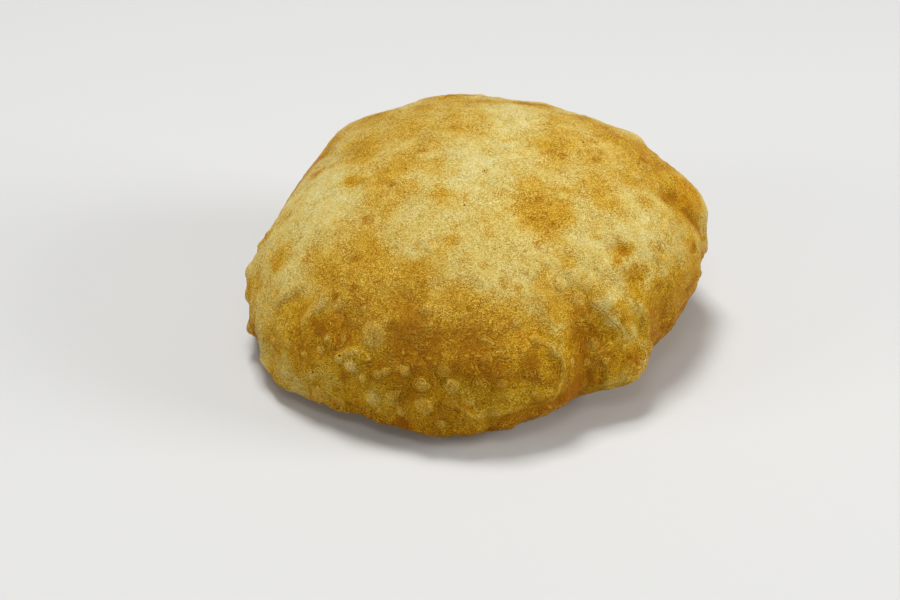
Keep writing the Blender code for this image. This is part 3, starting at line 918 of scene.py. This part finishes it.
def markRings(tree, marks):     # fine waves round the ringed blisters
    distance = plus(tree, readPaint(tree, "ringDistance"),
                    times(tree, marks["blotches"], crustFinish["ringFray"]))
    wave = maths(tree, "SINE", times(tree, distance, 2 * math.pi / crustFinish["ringPitch"]))
    marks["ring"] = times(tree, wave, between(tree, distance, *crustFinish["ringSpan"], 1.0, 0.0))


def crustMarks(tree, spot):     # the masks that mix the colour and the relief
    marks = {name: readPaint(tree, name) for name in ("browning", "paleness", "lip", "wall")}
    marks["blotches"] = cloudNoise(tree, spot, crustFinish["blotchSize"], 3.0, 0.45)
    markGrain(tree, spot, marks)
    markBlisters(tree, spot, marks)
    markWrinkles(tree, spot, marks)
    markBrowned(tree, spot, marks)
    markRings(tree, marks)
    return marks


def friedColour(tree, browned):
    ramp = addNode(tree, "ShaderNodeValToRGB", {"Fac": browned})
    stops = ramp.color_ramp.elements
    for number, (share, colour) in enumerate(crustFinish["colours"]):
        stop = stops[number] if number < 2 else stops.new(share)
        stop.position, stop.color = share, colour
    return ramp.outputs["Color"]


def crustColour(tree, marks):
    browned, pale, wall, thin = (marks[name] for name in ("browned", "paleness", "wall", "thin"))
    doughy = times(tree, times(tree, pale, wall), crustFinish["doughyShare"])
    colour = mixed(tree, doughy, friedColour(tree, browned), crustFinish["doughy"])
    # a browner band along the seam, partly the crust's own browning and partly painted shade
    lipped = times(tree, times(tree, marks["lip"], crustFinish["lipShare"]), minus(tree, 1.0, pale))
    colour = mixed(tree, lipped, colour, crustFinish["lipBrownAndShade"])
    oily = times(tree, between(tree, wall, *crustFinish["oilyWall"]),
                 between(tree, browned, *crustFinish["oilyFrom"]))
    colour = mixed(tree, oily, colour, crustFinish["oiled"], "MULTIPLY")
    colour = mixed(tree, thin, colour, crustFinish["blisterTop"])
    # Painted highlights: glint colours mixed into the base colour on the grain's tops and the wrinkles'
    # crests
    glintTone = minus(tree, between(tree, marks["browning"], *crustFinish["paintedGlintFrom"]), thin, True)
    glint = mixed(tree, glintTone, *crustFinish["paintedGlints"])
    tops = times(tree, marks["tops"],
                 between(tree, browned, *crustFinish["plainFrom"], 1.0, crustFinish["plainest"]))
    for cover, share in ((tops, "topGlintShare"), (marks["crest"], "crestGlintShare")):
        colour = mixed(tree, times(tree, cover, crustFinish[share], True), colour, glint)
    colour = mixed(tree, minus(tree, oily, thin, True), colour, crustFinish["soaked"], "MULTIPLY")
    # Painted shade: the grain's pits and the wrinkles' valleys darkened in the base colour
    pits = times(tree, marks["pits"], crustFinish["pitShare"], True)
    pits = plus(tree, pits, times(tree, marks["valley"], crustFinish["paintedCrackShade"]), True)
    return mixed(tree, pits, colour, crustFinish["paintedPitShade"], "MULTIPLY")


def crustRoughness(tree, marks):
    least, most = crustFinish["roughness"]
    grained = times(tree, marks["unevenness"], crustFinish["roughGrain"])
    blotched = times(tree, marks["blotches"], crustFinish["roughBlotches"])
    return between(tree, plus(tree, grained, blotched), *crustFinish["roughFrom"], most, least)


def crustNormal(tree, marks):
    height = times(tree, marks["grain"], crustFinish["grainRise"] / mm)
    for layer in ("wrinkle", "crest", "cap", "ridge", "rim", "valley", "ring"):
        height = plus(tree, height, times(tree, marks[layer], crustFinish[layer + "Rise"] / mm))
    bump = addNode(tree, "ShaderNodeBump", {"Height": height, "Strength": 1.0, "Distance": mm})
    return bump.outputs["Normal"]


def newMaterial(name, evenValues):     # the values are those that are the same all over
    material = bpy.data.materials.new(name)
    material.use_nodes = True
    tree = material.node_tree
    shader = tree.nodes["Principled BSDF"].inputs
    for socket, value in evenValues.items():
        shader[socket].default_value = value
    return material, tree, shader


def crustMaterial():
    material, tree, shader = newMaterial("friedCrust", crustFinish["evenValues"])
    spot = addNode(tree, "ShaderNodeTexCoord").outputs["Object"]
    marks = crustMarks(tree, spot)
    tree.links.new(crustColour(tree, marks), shader["Base Color"])
    tree.links.new(crustRoughness(tree, marks), shader["Roughness"])
    tree.links.new(crustNormal(tree, marks), shader["Normal"])
    return material


skin.data.materials.append(crustMaterial())
print("crust finished")


# Burnt flecks of flour on the skin

fleckForm = {
    "seen": ((-178, 68), (-33, 80), (-54, 67), (-49, 53), (-56, 57), (-115, 22), (-124, 16), (-131, 9),
             (-119, 2), (-44, 14), (-76, 13), (-49, 6), (-88, 66), (20, 45), (-140, 15)),
    "hiddenSeed": 77, "hiddenCount": 16,
    "hiddenAzimuths": (20, 160), "hiddenElevations": (-25, 45),
    "radius": (0.28, 0.46), "flatness": 0.55, "sunk": 0.25,     # mm, and shares of the radius
    "length": (0.8, 1.5), "unevenness": (0.82, 1.18),
    "grainSize": 0.3 * mm, "grainDepth": 0.08 * mm,
    "evenValues": {"Roughness": 0.8, "Specular IOR Level": 0.05},
    "colour": (0.035, 0.017, 0.008, 1), "edgeColour": (0.11, 0.045, 0.012, 1),
}


def buildFlecks():
    draw = np.random.default_rng(fleckForm["hiddenSeed"])
    hidden = [(draw.uniform(*fleckForm["hiddenAzimuths"]), draw.uniform(*fleckForm["hiddenElevations"]))
              for _ in range(fleckForm["hiddenCount"])]
    flecks = bmesh.new()
    for spot in [*fleckForm["seen"], *hidden]:
        corner = skin.data.vertices[nearestCorner(smooth, *spot)]
        radius = draw.uniform(*fleckForm["radius"]) * mm
        turned = corner.normal.to_track_quat("Z", "Y").to_matrix().to_4x4()
        laid = Matrix.Translation(corner.co - corner.normal * radius * fleckForm["sunk"]) @ turned
        squashed = Matrix.Diagonal((draw.uniform(*fleckForm["length"]), 1, fleckForm["flatness"], 1))
        blob = bmesh.ops.create_icosphere(flecks, subdivisions=2, radius=radius)["verts"]
        for point in blob:
            point.co *= draw.uniform(*fleckForm["unevenness"])
        bmesh.ops.transform(flecks, matrix=laid @ squashed, verts=blob)
    mesh = bpy.data.meshes.new("burntFlecks")
    flecks.to_mesh(mesh)
    flecks.free()
    mesh.shade_smooth()
    piece = bpy.data.objects.new("burntFlecks", mesh)
    bpy.context.scene.collection.objects.link(piece)
    return piece


def fleckMaterial():
    material, tree, shader = newMaterial("burntFlour", fleckForm["evenValues"])
    spot = addNode(tree, "ShaderNodeTexCoord").outputs["Object"]
    grain = useGroup(tree, grainGroup, {"Place": spot, "Size": fleckForm["grainSize"]})
    colour = mixed(tree, grain["Tops"], fleckForm["colour"], fleckForm["edgeColour"])
    tree.links.new(colour, shader["Base Color"])
    bump = addNode(tree, "ShaderNodeBump", {"Height": grain["Height"], "Strength": 1.0,
                                            "Distance": fleckForm["grainDepth"]})
    tree.links.new(bump.outputs["Normal"], shader["Normal"])
    return material


flecks = buildFlecks()
flecks.data.materials.append(fleckMaterial())
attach(flecks, "root")
print("flecks laid")


# Floor, light and camera

studio = {
    "floorSide": 12.0,
    "floorValues": {"Base Color": (0.62, 0.62, 0.61, 1), "Roughness": 0.75, "Specular IOR Level": 0.2},
    "sky": (1.0, 0.98, 0.95, 1), "skyStrength": 0.18,
    "lamps": {                                 # place and side in metres, watts
        "keyLight": ((-0.22, 0.34, 1.75), 0.5, 24.6),
        "leftLight": ((-1.4, -0.6, 0.5), 0.6, 6.8),
        "rightLight": ((1.5, -0.2, 0.55), 0.7, 18),
        "frontLight": ((-0.1, -0.9, 1.5), 0.5, 3.8),
    },
}
cameraView = {
    "target": (-12.2, -7.8, 17.0),      # mm
    "distance": 721, "elevation": 32.79, "roll": 0.91,
    "lens": 68, "sensor": 36,
}


def buildFloor():
    bpy.ops.mesh.primitive_plane_add(size=studio["floorSide"], location=(0, 0, breadLow.z))
    floor = bpy.context.object
    floor.name = "studioFloor"
    floor.data.materials.append(newMaterial("paleFloor", studio["floorValues"])[0])


def softLight(name, spot, side, watts):
    light = bpy.data.lights.new(name, "AREA")
    light.energy, light.size = watts, side
    lamp = bpy.data.objects.new(name, light)
    lamp.location = spot
    lamp.rotation_euler = (-Vector(spot)).to_track_quat("-Z", "Y").to_euler()
    bpy.context.scene.collection.objects.link(lamp)


def buildCamera():
    camera = bpy.data.objects.new("camera", bpy.data.cameras.new("camera"))
    camera.data.lens, camera.data.sensor_width = cameraView["lens"], cameraView["sensor"]
    lift = math.radians(cameraView["elevation"])
    back = Vector((0, -math.cos(lift), math.sin(lift))) * cameraView["distance"]
    spot = (Vector(cameraView["target"]) + back) * mm
    camera.matrix_world = (Matrix.Translation(spot) @ Matrix.Rotation(math.pi / 2 - lift, 4, "X")
                           @ Matrix.Rotation(math.radians(cameraView["roll"]), 4, "Z"))
    bpy.context.scene.collection.objects.link(camera)
    bpy.context.scene.camera = camera


buildFloor()
for lampName, (spot, side, watts) in studio["lamps"].items():
    softLight(lampName, spot, side, watts)
world = bpy.data.worlds.new("paleSky")
world.use_nodes = True
background = world.node_tree.nodes["Background"].inputs
background["Color"].default_value = studio["sky"]
background["Strength"].default_value = studio["skyStrength"]
bpy.context.scene.world = world
bpy.context.scene.view_settings.view_transform = "Standard"
buildCamera()
print("studio lit")
